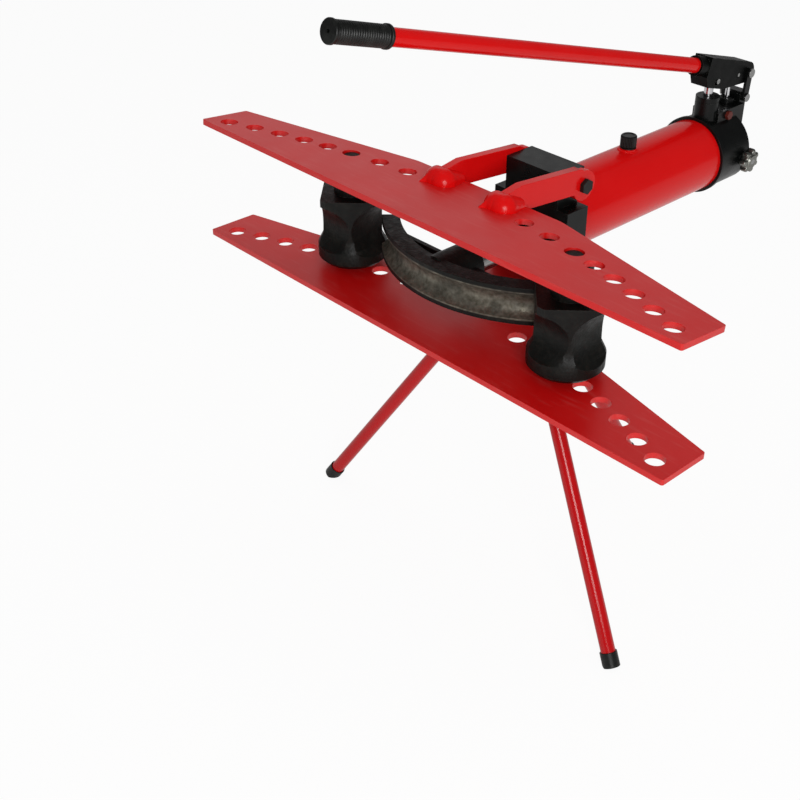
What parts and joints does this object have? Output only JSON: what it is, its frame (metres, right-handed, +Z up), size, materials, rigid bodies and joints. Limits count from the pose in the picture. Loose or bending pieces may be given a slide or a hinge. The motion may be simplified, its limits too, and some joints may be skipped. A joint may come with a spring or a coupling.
{
  "type": "hydraulic pipe bender",
  "caption": "Hydraulic pipe bender: hinged wing plates with rollers, a ram with a curved former, a lever hand pump and a three-legged stand.",
  "frame": {"origin": "on the floor, under the middle of the whole object's box", "axes": "+Z up, +Y from the wing plates to the pump, +X to the right of someone at the plates"},
  "size_m": [1.08, 1.055, 1.1347],
  "materials": {
    "red_paint": "gloss red enamel on steel",
    "black_casting": "black paint on rough cast iron",
    "black_paint": "satin black enamel on machined steel",
    "black_fasteners": "black oxide",
    "bright_steel": "ground steel",
    "chrome_rod": "polished hard chrome",
    "cast_alloy": "die cast, satin",
    "plug_paint": "red-brown paint",
    "black_plastic": "moulded, satin",
    "rubber": "moulded, matte"
  },
  "bodies": {
    "frame": {"lower_plate": "red_paint", "head_block": "black_paint", "block_bolts": "black_fasteners", "hinge_bolts": "black_fasteners", "barrel": "red_paint", "collar_ring": "black_paint", "pressure_tube": "bright_steel", "ram_gland": "bright_steel", "return_spring": "bright_steel", "pump_body": "black_paint", "large_gland": "black_paint", "small_gland": "black_paint", "check_balls": "bright_steel", "valve_plug": "plug_paint", "fulcrum_links": "black_paint", "link_pin": "bright_steel", "fulcrum_pin": "bright_steel", "stand_hub": "red_paint", "hub_bolts": "black_fasteners", "front_left_leg": "red_paint", "front_right_leg": "red_paint", "rear_leg": "red_paint", "front_left_foot": "rubber", "front_right_foot": "rubber", "rear_foot": "rubber"},
    "top_plate": {"upper_plate": "red_paint", "left_arm": "red_paint", "right_arm": "red_paint"},
    "ram": {"ram": "bright_steel", "ram_piston": "bright_steel", "piston_seal": "rubber", "former": "black_casting"},
    "left_roller": {"left_roller": "black_casting"},
    "right_roller": {"right_roller": "black_casting"},
    "lever": {"lever": "black_paint", "handle_tube": "red_paint", "handle_grip": "rubber"},
    "large_piston": {"large_piston": "chrome_rod", "large_piston_pin": "bright_steel"},
    "small_piston": {"small_piston": "chrome_rod", "small_piston_pin": "bright_steel"},
    "release_valve": {"release_stem": "bright_steel", "release_knob": "cast_alloy"},
    "filler": {"filler_cap": "black_plastic", "filler_seal": "rubber"}
  },
  "joints": [
    {"name": "top_plate_hinge", "type": "hinge", "parent": "frame", "child": "top_plate", "pos_m": [0, -0.03595, 0.768], "axis": [-1, 0, 0], "range_deg": [0, 40]},
    {"name": "ram_slide", "type": "slide", "parent": "frame", "child": "ram", "axis": [0, -1, 0], "range_m": [-0.14, 0.06], "deforming": ["return_spring"]},
    {"name": "left_roller_turn", "type": "hinge", "parent": "frame", "child": "left_roller", "pos_m": [-0.256, -0.27062, 0.58], "axis": [0, 0, 1], "continuous": true},
    {"name": "right_roller_turn", "type": "hinge", "parent": "frame", "child": "right_roller", "pos_m": [0.256, -0.27062, 0.58], "axis": [0, 0, 1], "continuous": true},
    {"name": "handle_pump", "type": "hinge", "parent": "frame", "child": "lever", "pos_m": [0, 0.50755, 0.8235], "axis": [-1, 0, 0], "range_deg": [0, 18]},
    {"name": "large_piston_slide", "type": "slide", "parent": "frame", "child": "large_piston", "axis": [0, 0, 1], "range_m": [0, 0.033]},
    {"name": "small_piston_slide", "type": "slide", "parent": "frame", "child": "small_piston", "axis": [0, 0, 1], "range_m": [0, 0.0105]},
    {"name": "release_knob_turn", "type": "hinge", "parent": "frame", "child": "release_valve", "pos_m": [0.075, 0.45555, 0.676], "axis": [1, 0, 0], "range_deg": [0, 360]},
    {"name": "filler_cap_turn", "type": "hinge", "parent": "frame", "child": "filler", "pos_m": [0, 0.17655, 0.755], "axis": [0, 0, 1], "continuous": true}
  ],
  "couplings": [
    {"joint": "large_piston_slide", "follows": "handle_pump", "m_per_rad": 0.10084},
    {"joint": "small_piston_slide", "follows": "handle_pump", "m_per_rad": 0.031511}
  ]
}
